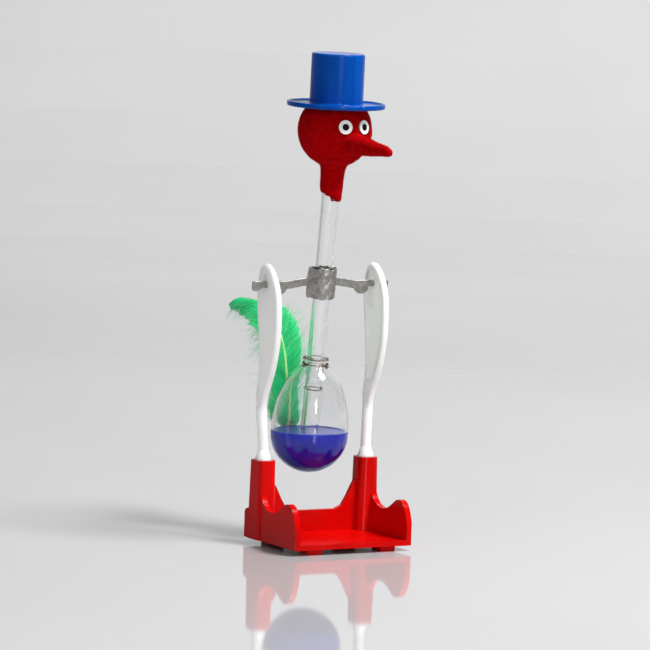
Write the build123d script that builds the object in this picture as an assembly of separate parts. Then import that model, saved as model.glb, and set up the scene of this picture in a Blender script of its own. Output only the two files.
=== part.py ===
from build123d import *
import math
import os

# Drinking bird, millimetres. +Z up, the bird faces -Y, the crossbar runs along X.
# Everything is drawn with the hinge axis at y = 0 and moved by ROW_SHIFT_Y at the end,
# so that the origin is the bottom centre of the whole object's box.

# ---- pose -------------------------------------------------------------
LEAN = 6.2                    # the resting bird leans this far forward
FACE_YAW = 3.4                # the head is glued on turned a little towards +X
HEAD_PITCH = 4.2              # and tipped back on the neck
HINGE_Z = 92.75
ROW_SHIFT_Y = -8.92

# ---- base tray --------------------------------------------------------
BASE_W = 47.8
BASE_FRONT = -30.1
BASE_REAR = 8.0
FOOT_H = 2.0
FOOT_SIDE = 6.0
FOOT_X = 14.9
FOOT_Y = (-25.5, 2.5)
FLOOR_T = 1.9
WALL_T = 2.2
BACK_WALL_T = 1.8
TOWER_X = 21.2
TOWER_W = 7.8
TOWER_D = 8.9
TOWER_TOP = 30.5
SOCKET_R = 2.55
SOCKET_DEPTH = 9.0

# ---- legs -------------------------------------------------------------
LEG_X = 22.0                  # the haunch stands a little outside its socket
LEG_T = 2.4
LEG_RECESS = 0.7
RIM_W = 1.35
PANEL_FLOOR_Z = 57.0
SHANK_R = 1.9
SHANK_TOP = 48.5
FLARE_TOP = 34.0
PLUG_R = 2.5
PLUG_FLARE_R = 3.1
PLUG_LEN = 8.6
HOLE_FLAT_Z = HINGE_Z - 0.45
HOLE_TOP_Z = HINGE_Z + 5.35

# ---- folded tin strip -------------------------------------------------
TIN_T = 0.8
WING_TOP = HINGE_Z + 2.0
WING_BOTTOM = HINGE_Z - 1.1
LUG_BOTTOM = HINGE_Z - 1.6
WING_CRANK = 1.2              # the wings rise this much to the collar
WING_TIP = 27.9
NOTCH_IN = 19.7
NOTCH_OUT = 25.6
LOBE_X = 17.0
LOBE_R = 3.4
LOBE_DROP = 2.0
COLLAR_R = 4.2
COLLAR_BORE = 3.30
COLLAR_H = 10.9
FLANGE_X = 5.7

# ---- glass ------------------------------------------------------------
TUBE_Y = -1.25                # the tube stands in front of the strip's plane
AXIS_Z = 94.2                 # middle of the collar
TUBE_R = 3.25
TUBE_WALL = 0.7
GLASS_WALL = 0.9
BULB_R = 14.05
BULB_DROP = 55.5
NECK_R = 4.7
NECK_TOP = AXIS_Z - 27.3
NECK_BOTTOM = AXIS_Z - 30.2
DIP_END = AXIS_Z - 66.0
HEAD_UP = 55.2
HEAD_R = 13.25
HEAD_TOP_H = 11.6
HEAD_GLASS_R = 10.6
HEAD_GLASS_WALL = 0.7
NECK_FELT_TOP = AXIS_Z + 43.2
NECK_FELT_END = AXIS_Z + 29.9
NECK_FELT_R = (4.3, 3.95)
NECK_JOINT_Z = AXIS_Z + HEAD_UP - 13.0
BEAK_REACH = 36.3

# ---- hat --------------------------------------------------------------
HAT_BRIM_R = 17.6
HAT_CROWN_R = 9.6
HAT_H = 19.2
BRIM_T = 1.2
HAT_BRIM_Z = AXIS_Z + HEAD_UP + 8.2
HAT_WALL = 1.0

# ---- eyes and feather -------------------------------------------------
EYE_R = 2.5
PUPIL_R = 1.18
EYE_ANGLE = 17.1
EYE_RISE = 9.1
EYE_OUT = 0.35
FEATHER_HALF_W = 8.4


def box_between(x0, x1, y0, y1, z0, z1):
    """A plain block given by its two corners."""
    size = (x1 - x0, y1 - y0, z1 - z0)
    return Pos((x0 + x1) / 2, (y0 + y1) / 2, (z0 + z1) / 2) * Box(*size)


def z_cylinder(radius, z0, z1, x=0.0, y=0.0):
    """An upright cylinder from z0 to z1."""
    return Pos(x, y, (z0 + z1) / 2) * Cylinder(radius, z1 - z0)


def revolve_profile(points):
    """Turn a closed (radius, z) outline about the Z axis."""
    outline = Plane.XZ * make_face(Polyline(*points, close=True))
    return revolve(outline, Axis.Z)


def pitched(shape):
    """Tip a piece of the head, drawn on the z axis, back about the neck joint."""
    joint = (0, 0, NECK_JOINT_Z)
    return Pos(*joint) * Rot(-HEAD_PITCH, 0, 0) * Pos(0, 0, -NECK_JOINT_Z) * shape


def yawed(shape):
    """Turn a piece drawn on the z axis by the face's yaw and set it on the tube's axis."""
    return Pos(0, TUBE_Y, 0) * Rot(0, 0, FACE_YAW) * shape


def leaned(shape):
    """Tip a piece of the upright bird forward about the hinge."""
    return Pos(0, 0, HINGE_Z) * Rot(LEAN, 0, 0) * Pos(0, 0, -HINGE_Z) * shape


# ---- base -------------------------------------------------------------
def floor_plate():
    depth = BASE_REAR - BASE_FRONT
    plate = RectangleRounded(BASE_W, depth, 1.8)
    centre = (BASE_FRONT + BASE_REAR) / 2
    return Pos(0, centre, FOOT_H) * extrude(plate, FLOOR_T)


def side_wall(side):
    """One side wall: low waves towards the front, a stub behind the tower."""
    top = Spline(
        (-4.1, 19.6),
        (-5.2, 16.6),
        (-8.4, 13.9),
        (-12.8, 13.2),
        (-17.5, 14.6),
        (-24.0, 17.7),
        (-26.6, 16.5),
        (-28.5, 13.5),
        (-29.7, 10.0),
        (BASE_FRONT, 6.0),
    )
    rest = Polyline(
        (BASE_FRONT, 6.0),
        (BASE_FRONT, FOOT_H),
        (BASE_REAR, FOOT_H),
        (BASE_REAR, 10.7),
        (6.7, 12.3),
        (3.6, 13.0),
        (3.0, 19.6),
        (-4.1, 19.6),
    )
    outline = Plane.YZ * make_face([top, rest])
    wall = extrude(outline, WALL_T)
    inner = BASE_W / 2 - WALL_T
    x0 = inner if side > 0 else -BASE_W / 2
    return Pos(x0, 0, 0) * wall


def tower(side):
    """The post that takes the leg, with a little draft towards the foot."""
    low = RectangleRounded(TOWER_W + 0.5, TOWER_D + 0.7, 3.0)
    high = RectangleRounded(TOWER_W - 0.3, TOWER_D - 0.3, 2.9)
    place = Pos(side * TOWER_X, 0, 0)
    return place * loft([Pos(0, 0, FOOT_H) * low, Pos(0, 0, TOWER_TOP) * high])


def back_wall():
    """The low wall between the towers, swept up into each of them."""
    reach = TOWER_X - 2.0
    points = [
        (-reach, FOOT_H),
        (reach, FOOT_H),
        (reach, 24.2),
        (17.2, 22.6),
        (15.8, 20.6),
        (13.6, 16.2),
        (11.6, 13.0),
        (8.9, 11.8),
        (-8.9, 11.8),
        (-11.6, 13.0),
        (-13.6, 16.2),
        (-15.8, 20.6),
        (-17.2, 22.6),
        (-reach, 24.2),
    ]
    outline = Plane.XZ * make_face(Polyline(*points, close=True))
    return extrude(outline, BACK_WALL_T / 2, both=True)


def base_tray():
    tray = floor_plate()
    for side in (-1, 1):
        tray += side_wall(side)
        tray += tower(side)
    tray += back_wall()
    for side in (-1, 1):
        for y in FOOT_Y:
            x = side * FOOT_X
            half = FOOT_SIDE / 2
            tray += box_between(x - half, x + half, y - half, y + half, 0, FOOT_H + 0.4)
    corner_keep = RectangleRounded(BASE_W + 1.3, BASE_REAR - BASE_FRONT, 1.8)
    centre = (BASE_FRONT + BASE_REAR) / 2
    tray &= Pos(0, centre, -1) * extrude(corner_keep, 40)
    for side in (-1, 1):
        tray -= z_cylinder(SOCKET_R, TOWER_TOP - SOCKET_DEPTH, TOWER_TOP + 1, side * TOWER_X)
    return tray


# ---- legs -------------------------------------------------------------
def haunch_curve():
    """The edge of the haunch as one (y, z) curve: up the front, over the top, down the rear."""
    return Spline(
        (-0.7, 45.0),
        (-1.0, 49.0),
        (-2.4, 54.0),
        (-5.6, 60.5),
        (-8.6, 69.0),
        (-9.9, 77.0),
        (-9.9, 84.0),
        (-8.9, 91.0),
        (-6.0, 96.6),
        (-2.6, 99.9),
        (0.6, 100.9),
        (3.0, 99.4),
        (4.6, 95.5),
        (5.2, 89.0),
        (4.2, 81.0),
        (3.2, 75.0),
        (2.4, 67.0),
        (2.3, 61.0),
        (3.2, 55.5),
        (3.6, 52.0),
        (3.0, 48.0),
        (2.7, 45.0),
    )


def leg_outline():
    edge = haunch_curve()
    return make_face([edge, Line(edge @ 1, edge @ 0)])


def panel_outline():
    """The recessed panel's outline, one rim width inside the haunch's edge."""
    edge = haunch_curve()
    count = 60
    points = []
    for i in range(count + 1):
        t = i / count
        point = edge @ t
        along = edge % t
        if point.Y >= PANEL_FLOOR_Z:
            points.append((point.X + RIM_W * along.Y, point.Y - RIM_W * along.X))
    inner = Spline(*points)
    return make_face([inner, Line(inner @ 1, inner @ 0)])


def hole_outline(grow=0.0):
    """The rounded triangle that the strip hangs in; its floor is flat."""
    low_r = 1.15 + grow
    top_r = 1.05 + grow
    low_z = HOLE_FLAT_Z + 1.15
    top_z = HOLE_TOP_Z - 1.05
    corners = [
        Pos(-1.5, low_z) * Circle(low_r),
        Pos(1.5, low_z) * Circle(low_r),
        Pos(0, top_z) * Circle(top_r),
    ]
    return make_hull(corners[0].edges() + corners[1].edges() + corners[2].edges())


def haunch():
    """The flat upper leg of the +X side, inner face recessed inside a raised rim."""
    half = LEG_T / 2
    plate = Pos(-half, 0, 0) * extrude(Plane.YZ * leg_outline(), LEG_T)
    rims = plate.edges().filter_by(lambda e: abs(e.center().X) > half - 0.01)
    plate = fillet(rims.filter_by(lambda e: e.length > 10), 0.7)
    panel = panel_outline() - hole_outline(1.1)
    over = 1.0
    cut = extrude(Plane.YZ * panel, amount=LEG_RECESS + over, dir=(1, 0, 0))
    plate -= Pos(-half - over, 0, 0) * cut
    mark = Rot(0, 90, 0) * Cylinder(1.1, LEG_RECESS)
    plate += Pos(-half + LEG_RECESS * 0.75, -1.6, HINGE_Z - 6.6) * mark
    hole = extrude(Plane.YZ * make_face(hole_outline()), amount=6, dir=(1, 0, 0))
    return plate - Pos(-3, 0, 0) * hole


def leg(side):
    """One leg: haunch, round shank and foot plug."""
    out = LEG_X - TOWER_X
    low = Pos(0, 0.2, FLARE_TOP) * Circle(SHANK_R)
    high = Pos(out, 1.0, SHANK_TOP) * Circle(SHANK_R)
    whole = Pos(out, 0, 0) * haunch() + loft([low, high])
    whole += Pos(out, 1.0, SHANK_TOP) * Sphere(SHANK_R)
    flare_mid = (TOWER_TOP + FLARE_TOP) / 2
    whole += Pos(0, 0, flare_mid) * Cone(PLUG_FLARE_R, SHANK_R, FLARE_TOP - TOWER_TOP)
    whole += z_cylinder(PLUG_R, TOWER_TOP - PLUG_LEN, TOWER_TOP)
    placed = Pos(TOWER_X, 0, 0) * whole
    if side < 0:
        placed = mirror(placed, about=Plane.YZ)
    return placed


# ---- folded tin strip -------------------------------------------------
def wing_outline():
    """One flat wing in (x, z): cranked up to the collar, notched where the leg goes."""
    return Polyline(
        (FLANGE_X - 1.0, WING_TOP + WING_CRANK),
        (9.0, WING_TOP + WING_CRANK * 0.75),
        (15.5, WING_TOP),
        (WING_TIP, WING_TOP),
        (WING_TIP, LUG_BOTTOM),
        (NOTCH_OUT, LUG_BOTTOM),
        (NOTCH_OUT, HINGE_Z),
        (NOTCH_IN, HINGE_Z),
        (NOTCH_IN, WING_BOTTOM),
        (13.0, WING_BOTTOM),
        (9.0, WING_BOTTOM + WING_CRANK * 0.75),
        (FLANGE_X - 1.0, WING_BOTTOM + WING_CRANK),
        close=True,
    )


def one_wing():
    """The +X wing with its lobe and the rounded hinge edge of its notch."""
    wing = extrude(Plane.XZ * make_face(wing_outline()), TIN_T / 2, both=True)
    mid = (NOTCH_IN + NOTCH_OUT) / 2
    edge = Rot(0, 90, 0) * Cylinder(TIN_T / 2, NOTCH_OUT - NOTCH_IN)
    wing += Pos(mid, 0, HINGE_Z) * edge
    lobe_z = WING_BOTTOM - LOBE_DROP + LOBE_R
    lobe = Pos(LOBE_X, 0, lobe_z) * Rot(90, 0, 0) * Cylinder(LOBE_R, TIN_T)
    keep = box_between(LOBE_X - 5, NOTCH_IN, -2, 2, WING_BOTTOM - 5, WING_BOTTOM + 1)
    return wing + (lobe & keep)


def pivot_strip():
    """Wings, flanges and the collar that is crimped round the tube."""
    wing = one_wing()
    strip = wing + mirror(wing, about=Plane.YZ)
    z0 = AXIS_Z - COLLAR_H / 2
    z1 = AXIS_Z + COLLAR_H / 2
    strip += box_between(-FLANGE_X, FLANGE_X, -TIN_T / 2, TIN_T / 2, z0, z1)
    strip += z_cylinder(COLLAR_R, z0, z1, 0, TUBE_Y)
    strip -= z_cylinder(COLLAR_BORE, z0 - 1, z1 + 1, 0, TUBE_Y)
    return strip


# ---- glass ------------------------------------------------------------
def bulb_shoulder_points():
    """Outer outline of the bulb's shoulder as (radius, z), from the seal to the widest ring."""
    drops = [
        (NECK_R, 30.2),
        (7.3, 32.6),
        (9.3, 35.4),
        (12.0, 41.6),
        (13.1, 45.4),
        (13.85, 50.6),
        (BULB_R, BULB_DROP),
    ]
    return [(r, AXIS_Z - d) for r, d in drops]


def bulb_solid(shrink):
    """The full bulb body, its outer wall moved inwards by shrink."""
    centre = AXIS_Z - BULB_DROP
    points = []
    for r, z in bulb_shoulder_points():
        length = math.hypot(r, z - centre)
        factor = (length - shrink) / length
        points.append((r * factor, centre + (z - centre) * factor))
    top = points[0]
    radius = BULB_R - shrink
    shoulder = Spline(*points, tangents=[(0.7, -0.7), (0.0, -1.0)])
    diagonal = radius * math.sqrt(0.5)
    low = (0.0, centre - radius)
    belly = ThreePointArc((radius, centre), (diagonal, centre - diagonal), low)
    closing = Polyline(low, (0.0, top[1]), top)
    return revolve(Plane.XZ * make_face([shoulder, belly, closing]), Axis.Z)


def body_bulb():
    """Blown lower bulb, open only where the tube is sealed in at the ring."""
    shell = bulb_solid(0.0) - bulb_solid(GLASS_WALL)
    collar = z_cylinder(NECK_R, NECK_BOTTOM - 0.6, NECK_TOP)
    shell = shell + collar
    shell -= z_cylinder(TUBE_R + 0.02, NECK_BOTTOM - 6, NECK_TOP + 1)
    return Pos(0, TUBE_Y, 0) * shell


def stem_tube():
    """Tube from the head down through the seal, nearly to the bulb's floor."""
    top = NECK_FELT_TOP - 1.0
    tube = z_cylinder(TUBE_R, NECK_BOTTOM - 2.0, top)
    dip = z_cylinder(TUBE_R - 0.25, DIP_END, NECK_BOTTOM - 2.0)
    bead = Pos(0, 0, AXIS_Z - 39.0) * Torus(TUBE_R - 0.35, 0.55)
    tube = tube + dip + bead
    tube -= z_cylinder(TUBE_R - TUBE_WALL, DIP_END - 1, top + 1)
    return Pos(0, TUBE_Y, 0) * tube


def glass_head_forms(grow):
    """Ball and pulled tip of the glass head, each grown by grow."""
    centre_z = AXIS_Z + HEAD_UP
    ball = Pos(0, 0, centre_z) * Sphere(HEAD_GLASS_R + grow)
    tip = Pos(0, -13.0, centre_z - 3.9) * Rot(90, 0, 0) * Cone(2.3 + grow, 1.0 + grow, 10.0)
    return pitched(ball + tip)


def head_bulb():
    """Hollow glass head with a pulled and sealed tip inside the beak."""
    centre_z = AXIS_Z + HEAD_UP
    low = NECK_FELT_TOP - 1.0
    solid = glass_head_forms(0.0) + z_cylinder(TUBE_R, low, centre_z - 5)
    solid -= pitched(Pos(0, 0, centre_z) * Sphere(HEAD_GLASS_R - HEAD_GLASS_WALL))
    solid -= z_cylinder(TUBE_R - TUBE_WALL, low - 1, centre_z)
    return yawed(solid)


def liquid_surface_cut():
    """A half space above the level surface, drawn in the upright bird's frame."""
    level = AXIS_Z - BULB_DROP + 0.9
    block = Pos(0, 0, 30) * Box(80, 80, 60)
    return Pos(0, TUBE_Y, level) * Rot(-LEAN, 0, 0) * block


def liquid_pool():
    """Liquid lying in the bulb, outside the dip tube, level in the resting pose."""
    pool = bulb_solid(GLASS_WALL + 0.02)
    pool -= z_cylinder(TUBE_R - 0.23, DIP_END - 0.02, AXIS_Z)
    pool = Pos(0, TUBE_Y, 0) * pool
    return pool - liquid_surface_cut()


def liquid_column():
    """Liquid standing inside the dip tube, up to the same level."""
    column = z_cylinder(TUBE_R - TUBE_WALL - 0.02, DIP_END, AXIS_Z - 30)
    return Pos(0, TUBE_Y, 0) * column - liquid_surface_cut()


# ---- felt head --------------------------------------------------------
def beak_solid(centre_z):
    """Long tapering beak, deep at the root and blunt at the tip."""
    sections = [
        (-8.0, -4.3, 5.6, 4.8),
        (-12.5, -4.1, 4.9, 4.2),
        (-18.0, -4.0, 3.9, 3.5),
        (-25.0, -4.3, 2.9, 2.75),
        (-32.0, -4.5, 2.0, 2.0),
        (-BEAK_REACH + 1.0, -4.8, 1.35, 1.35),
        (-BEAK_REACH, -4.9, 0.7, 0.7),
    ]
    faces = []
    for y, dz, half_w, half_h in sections:
        plane = Plane(origin=(0, y, centre_z + dz), x_dir=(1, 0, 0), z_dir=(0, -1, 0))
        faces.append(plane * Ellipse(half_w, half_h))
    return loft(faces)


def felt_ball():
    """Ball and beak; the hat's brim presses a shoulder into the ball."""
    centre_z = AXIS_Z + HEAD_UP
    ball = Pos(0, 0, centre_z) * Sphere(HEAD_R)
    cap_r = HAT_CROWN_R - HAT_WALL - 0.02
    below = box_between(-20, 20, -20, 20, centre_z - 20, HAT_BRIM_Z - 0.02)
    cap = z_cylinder(cap_r, HAT_BRIM_Z - 1, centre_z + HEAD_TOP_H)
    ball &= below + cap
    return pitched(ball + beak_solid(centre_z))


def felt_solid():
    """The felt cover's outer form: ball, neck sleeve and beak."""
    neck = Pos(0, 0, (NECK_FELT_END + NECK_FELT_TOP) / 2) * Cone(
        NECK_FELT_R[1], NECK_FELT_R[0], NECK_FELT_TOP - NECK_FELT_END
    )
    root = revolve_profile([
        (0.0, NECK_FELT_TOP - 0.5),
        (NECK_FELT_R[0], NECK_FELT_TOP - 0.5),
        (5.4, NECK_FELT_TOP + 1.4),
        (7.0, NECK_FELT_TOP + 3.0),
        (0.0, NECK_FELT_TOP + 5.0),
    ])
    return felt_ball() + neck + root


def felt_head():
    """One felt cover, hollow where the glass head and the tube are."""
    cover = felt_solid() - glass_head_forms(0.02)
    cover -= z_cylinder(TUBE_R + 0.02, NECK_FELT_END - 1, AXIS_Z + HEAD_UP)
    return yawed(cover)


def eye_frame(side, out):
    """Place on the felt ball, out millimetres above its surface."""
    yaw = Rot(0, 0, side * EYE_ANGLE)
    rise = Rot(-EYE_RISE, 0, 0)
    centre_z = AXIS_Z + HEAD_UP
    return Pos(0, 0, centre_z) * yaw * rise * Pos(0, -(HEAD_R + out), 0) * Rot(90, 0, 0)


# ---- hat --------------------------------------------------------------
def hat():
    """Top hat: thin brim with a raised edge, straight crown, hollow underneath."""
    z = HAT_BRIM_Z
    top = z + HAT_H
    profile = [
        (HAT_BRIM_R - 0.4, z),
        (HAT_BRIM_R, z + 0.4),
        (HAT_BRIM_R, z + 1.5),
        (HAT_BRIM_R - 0.3, z + 1.8),
        (HAT_BRIM_R - 0.9, z + 1.6),
        (HAT_BRIM_R - 1.3, z + BRIM_T),
        (HAT_CROWN_R + 0.5, z + BRIM_T),
        (HAT_CROWN_R, z + BRIM_T + 0.5),
        (HAT_CROWN_R - 0.05, top - 0.6),
        (HAT_CROWN_R - 0.6, top),
        (0.0, top),
        (0.0, top - HAT_WALL),
        (HAT_CROWN_R - HAT_WALL, top - HAT_WALL),
        (HAT_CROWN_R - HAT_WALL, z),
    ]
    shell = revolve_profile(profile)
    gate = Pos(0, -HAT_BRIM_R, z + 1.7) * Box(0.8, 1.4, 0.6)
    return yawed(pitched(shell - gate))


def hat_glue():
    """Pad of glue on the felt's flat top, inside the crown."""
    z = AXIS_Z + HEAD_UP + HEAD_TOP_H
    pad = z_cylinder(HAT_CROWN_R - HAT_WALL - 0.1, z + 0.02, z + 1.4)
    return yawed(pitched(pad))


# ---- eyes -------------------------------------------------------------
def eye_white(side):
    """Flat white disc bedded on the felt."""
    depth = 0.7 + EYE_OUT
    disc = eye_frame(side, -0.7) * (Pos(0, 0, depth / 2) * Cylinder(EYE_R, depth))
    return yawed(pitched(disc) - felt_solid())


def pupil(side):
    """Black dot in the middle of the disc's face."""
    dot = Pos(0, 0, EYE_OUT + 0.11) * Cylinder(PUPIL_R, 0.2)
    return yawed(pitched(eye_frame(side, 0.0) * dot))


# ---- feather ----------------------------------------------------------
def feather_path():
    """The quill's (y, z) points in the resting pose, from the glue to the tip."""
    rises = [
        (19.9, -58.0),
        (20.7, -52.0),
        (21.8, -43.0),
        (22.9, -35.0),
        (25.3, -27.0),
        (29.6, -20.0),
        (36.5, -13.8),
        (45.0, -11.3),
        (54.0, -11.8),
        (60.2, -13.8),
    ]
    return Spline(*[(0, y, AXIS_Z + dz) for y, dz in rises])


def feather_sections(path, start, end, half_w_at, thickness, count, lift):
    """Flat sections across the quill from start to end (fractions of its length)."""
    faces = []
    for i in range(count):
        t = start + (end - start) * i / (count - 1)
        point = path @ t
        along = path % t
        section = Plane(origin=point, x_dir=(1, 0, 0), z_dir=along)
        half_w = half_w_at(i / (count - 1))
        faces.append(section * (Pos(0, lift) * Rectangle(2 * half_w, thickness)))
    return faces


def vane_half_width(s):
    """Narrow at the quill's foot, full in the middle, rounded at the tip."""
    body = math.sin(math.pi * (0.18 + 0.80 * s)) ** 0.5
    return 0.8 + (FEATHER_HALF_W - 0.8) * body


def feather_vane():
    path = feather_path()
    faces = feather_sections(path, 0.09, 1.0, vane_half_width, 0.7, 12, 0.0)
    return loft(faces) - feather_quill_solid(0.02)


def feather_quill_solid(grow=0.0):
    path = feather_path()
    faces = []
    count = 12
    for i in range(count):
        t = 0.97 * i / (count - 1)
        plane = Plane(origin=path @ t, x_dir=(1, 0, 0), z_dir=path % t)
        radius = 0.60 - 0.12 * i / (count - 1) + grow
        faces.append(plane * Circle(radius))
    return loft(faces)


def feather_glue():
    """Dab of clear glue that holds the quill's foot on the bulb."""
    dab = Pos(0, 19.6, AXIS_Z - 55.2) * Rot(6, 0, 0) * Cylinder(1.5, 5.6)
    dab = fillet(dab.edges(), 0.7)
    dab -= feather_quill_solid(0.02)
    dab -= leaned(Pos(0, TUBE_Y, 0) * bulb_solid(-0.02))
    return dab


# ---- whole object ------------------------------------------------------
def all_nodes():
    """Every node of the object, with the hinge axis at y = 0."""
    return {
        "base_tray": base_tray(),
        "left_leg": leg(1),
        "right_leg": leg(-1),
        "pivot_strip": leaned(pivot_strip()),
        "body_bulb": leaned(body_bulb()),
        "stem_tube": leaned(stem_tube()),
        "head_bulb": leaned(head_bulb()),
        "liquid_pool": leaned(liquid_pool()),
        "liquid_column": leaned(liquid_column()),
        "felt_head": leaned(felt_head()),
        "hat": leaned(hat()),
        "hat_glue": leaned(hat_glue()),
        "eye_white_left": leaned(eye_white(1)),
        "eye_white_right": leaned(eye_white(-1)),
        "pupil_left": leaned(pupil(1)),
        "pupil_right": leaned(pupil(-1)),
        "feather_quill": feather_quill_solid(),
        "feather_vane": feather_vane(),
        "feather_glue": feather_glue(),
    }


def main():
    os.makedirs("parts", exist_ok=True)
    for name, shape in all_nodes().items():
        placed = Pos(0, ROW_SHIFT_Y, 0) * shape
        box = placed.bounding_box()
        print(name, [round(v, 2) for v in (*box.min, *box.max)], round(placed.volume, 2))
        export_step(placed, f"parts/{name}.step")


main()
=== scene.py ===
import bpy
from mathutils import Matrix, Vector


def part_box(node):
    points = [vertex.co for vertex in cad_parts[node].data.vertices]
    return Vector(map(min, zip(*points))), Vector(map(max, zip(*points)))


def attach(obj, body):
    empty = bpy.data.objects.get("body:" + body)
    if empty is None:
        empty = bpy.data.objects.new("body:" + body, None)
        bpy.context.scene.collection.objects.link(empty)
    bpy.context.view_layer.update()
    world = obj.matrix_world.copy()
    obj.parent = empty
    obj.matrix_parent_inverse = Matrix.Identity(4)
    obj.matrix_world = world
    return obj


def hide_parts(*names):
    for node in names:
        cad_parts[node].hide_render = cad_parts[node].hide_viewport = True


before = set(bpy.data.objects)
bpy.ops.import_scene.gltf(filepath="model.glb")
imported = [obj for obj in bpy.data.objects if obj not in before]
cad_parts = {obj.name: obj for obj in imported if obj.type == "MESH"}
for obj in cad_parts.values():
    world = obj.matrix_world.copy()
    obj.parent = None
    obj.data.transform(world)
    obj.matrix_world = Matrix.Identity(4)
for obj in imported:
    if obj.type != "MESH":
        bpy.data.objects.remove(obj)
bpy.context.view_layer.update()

import math
import random

import bmesh
import bpy
from mathutils import Matrix, Vector, noise

# Drinking bird. Lengths in the tables below are millimetres; MM turns them into metres.
MM = 0.001
SEED = 71

# ---- the resting bird's own frames ----
SHIFT_Y = -8.92
HINGE_Z = 92.75
LEAN = 6.2
HEAD_PITCH = 4.2
FACE_YAW = 3.4
TUBE_Y = -1.25
AXIS_Z = 94.2
HEAD_UP = 55.2
NECK_JOINT_Z = AXIS_Z + HEAD_UP - 13.0
HAT_BRIM_Z = AXIS_Z + HEAD_UP + 8.2

# ---- sizes ----
TUBE_R = 3.25
TUBE_WALL = 0.7
GLASS_WALL = 0.9
BULB_R = 14.05
BULB_DROP = 55.5
NECK_R = 4.7
NECK_TOP = -27.3
NECK_BOTTOM = -30.2
DIP_BEAD = -39.0
DIP_END = -66.0
STEM_TOP = 41.9
HEAD_R = 13.25
FELT_NECK_END = 29.9
FELT_VOXEL = 0.42
FELT_SMOOTHING = 8
FLOCK_FIBRES = 30000
FIBRE_LENGTH = (0.18, 0.42)
FIBRE_HALF_W = 0.035
BEAK_REACH = 36.3
EYE_ANGLE = 17.1
EYE_RISE = 9.1
EYE_RIM_R = 2.52
HAT_BRIM_R = 17.6
HAT_CROWN_R = 9.6
HAT_H = 19.2
BRIM_T = 1.2
GATE_HALF_W = 0.75
GATE_DEPTH = 0.45
TIN_T = 0.8
WING_TOP = 2.0
WING_BOTTOM = -1.1
LUG_BOTTOM = -1.6
WING_CRANK = 1.2
WING_TIP = 27.9
NOTCH_IN = 19.7
NOTCH_OUT = 25.6
LUG_START = 23.7
LOBE_X = 17.0
LOBE_R = 3.4
LOBE_DROP = 2.0
COLLAR_R = 3.95
COLLAR_H = 10.9
FLANGE_X = 5.7
SHEET_T = 0.35
LIQUID_RISE = 0.35
BARB_STEPS = 8
BARB_W = 0.26
DOWN_W = 0.09
STRAND_W = 0.12
BARBS_PER_SIDE = 1500
DOWN_PER_SIDE = 900
STRANDS_NEAR = 150
STRANDS_FAR = 60
STAGE_FLOOR_R = 1300.0
STAGE_CURVE_R = 1100.0
STAGE_TOP = 2000.0

# ---- camera ----
CAM_AZIMUTH = 30.0
CAM_ELEVATION = 5.3
CAM_ROLL = 2.0
CAM_DISTANCE = 1434.0
CAM_TARGET = (0.62, -11.95, 78.9)
CAM_LENS = 221.5
CAM_SENSOR = 36.0

# ---- light: name, place, target, size (metres) and watts ----
MIDDLE = (0, -0.01, 0.09)
LIGHTS = [
    ("key", (0.40, -0.54, 1.20), MIDDLE, (0.42, 0.42), 27),
    ("strip", (-0.24, -0.97, 0.30), MIDDLE, (0.10, 0.34), 2.2),
    ("fill", (-1.0, -0.45, 0.55), MIDDLE, (0.5, 0.6), 1.0),
    ("wall_far", (0.95, 0.85, 1.5), (1.3, 2.1, 0.2), (1.2, 0.8), 29),
    ("wall_near", (-0.6, -0.9, 1.6), (-1.0, -2.2, 0.3), (1.2, 0.8), 9),
    ("wall_left", (-1.0, 0.8, 1.6), (-1.6, 1.7, 0.3), (1.0, 0.8), 2.5),
]
WORLD_COLOUR = (0.80, 0.80, 0.81, 1)
WORLD_STRENGTH = 0.13


def shift(x, y, z):
    return Matrix.Translation((x * MM, y * MM, z * MM))


def turn(degrees, axis):
    return Matrix.Rotation(math.radians(degrees), 4, axis)


BIRD = shift(0, SHIFT_Y, HINGE_Z) @ turn(LEAN, "X") @ shift(0, 0, -HINGE_Z)
TUBE = BIRD @ shift(0, TUBE_Y, AXIS_Z)
STRIP = shift(0, SHIFT_Y, HINGE_Z) @ turn(LEAN, "X")
HEAD = (
    BIRD
    @ shift(0, TUBE_Y, 0)
    @ turn(FACE_YAW, "Z")
    @ shift(0, 0, NECK_JOINT_Z)
    @ turn(-HEAD_PITCH, "X")
    @ shift(0, 0, AXIS_Z + HEAD_UP - NECK_JOINT_Z)
)
BULB = TUBE @ shift(0, 0, -BULB_DROP)


# ---- mesh helpers -----------------------------------------------------
def place(matrix, x, y, z):
    """A point in millimetres of a local frame, as metres in the row frame."""
    return matrix @ Vector((x * MM, y * MM, z * MM))


def mesh_piece(name, verts, faces, smooth=True):
    mesh = bpy.data.meshes.new(name)
    mesh.from_pydata([tuple(v) for v in verts], [], faces)
    mesh.validate()
    mesh.update()
    for polygon in mesh.polygons:
        polygon.use_smooth = smooth
    obj = bpy.data.objects.new(name, mesh)
    bpy.context.scene.collection.objects.link(obj)
    return obj


def fix_normals(obj):
    bm = bmesh.new()
    bm.from_mesh(obj.data)
    bmesh.ops.recalc_face_normals(bm, faces=bm.faces)
    bm.to_mesh(obj.data)
    bm.free()
    return obj


def catmull(points, per):
    """A smooth run of points through the given ones."""
    out = []
    count = len(points)
    for i in range(count - 1):
        p0 = Vector(points[max(i - 1, 0)])
        p1 = Vector(points[i])
        p2 = Vector(points[i + 1])
        p3 = Vector(points[min(i + 2, count - 1)])
        for k in range(per):
            t = k / per
            a = 2 * p1
            b = (p2 - p0) * t
            c = (2 * p0 - 5 * p1 + 4 * p2 - p3) * t * t
            d = (3 * p1 - p0 - 3 * p2 + p3) * t * t * t
            out.append((a + b + c + d) * 0.5)
    out.append(Vector(points[-1]))
    return out


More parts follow.
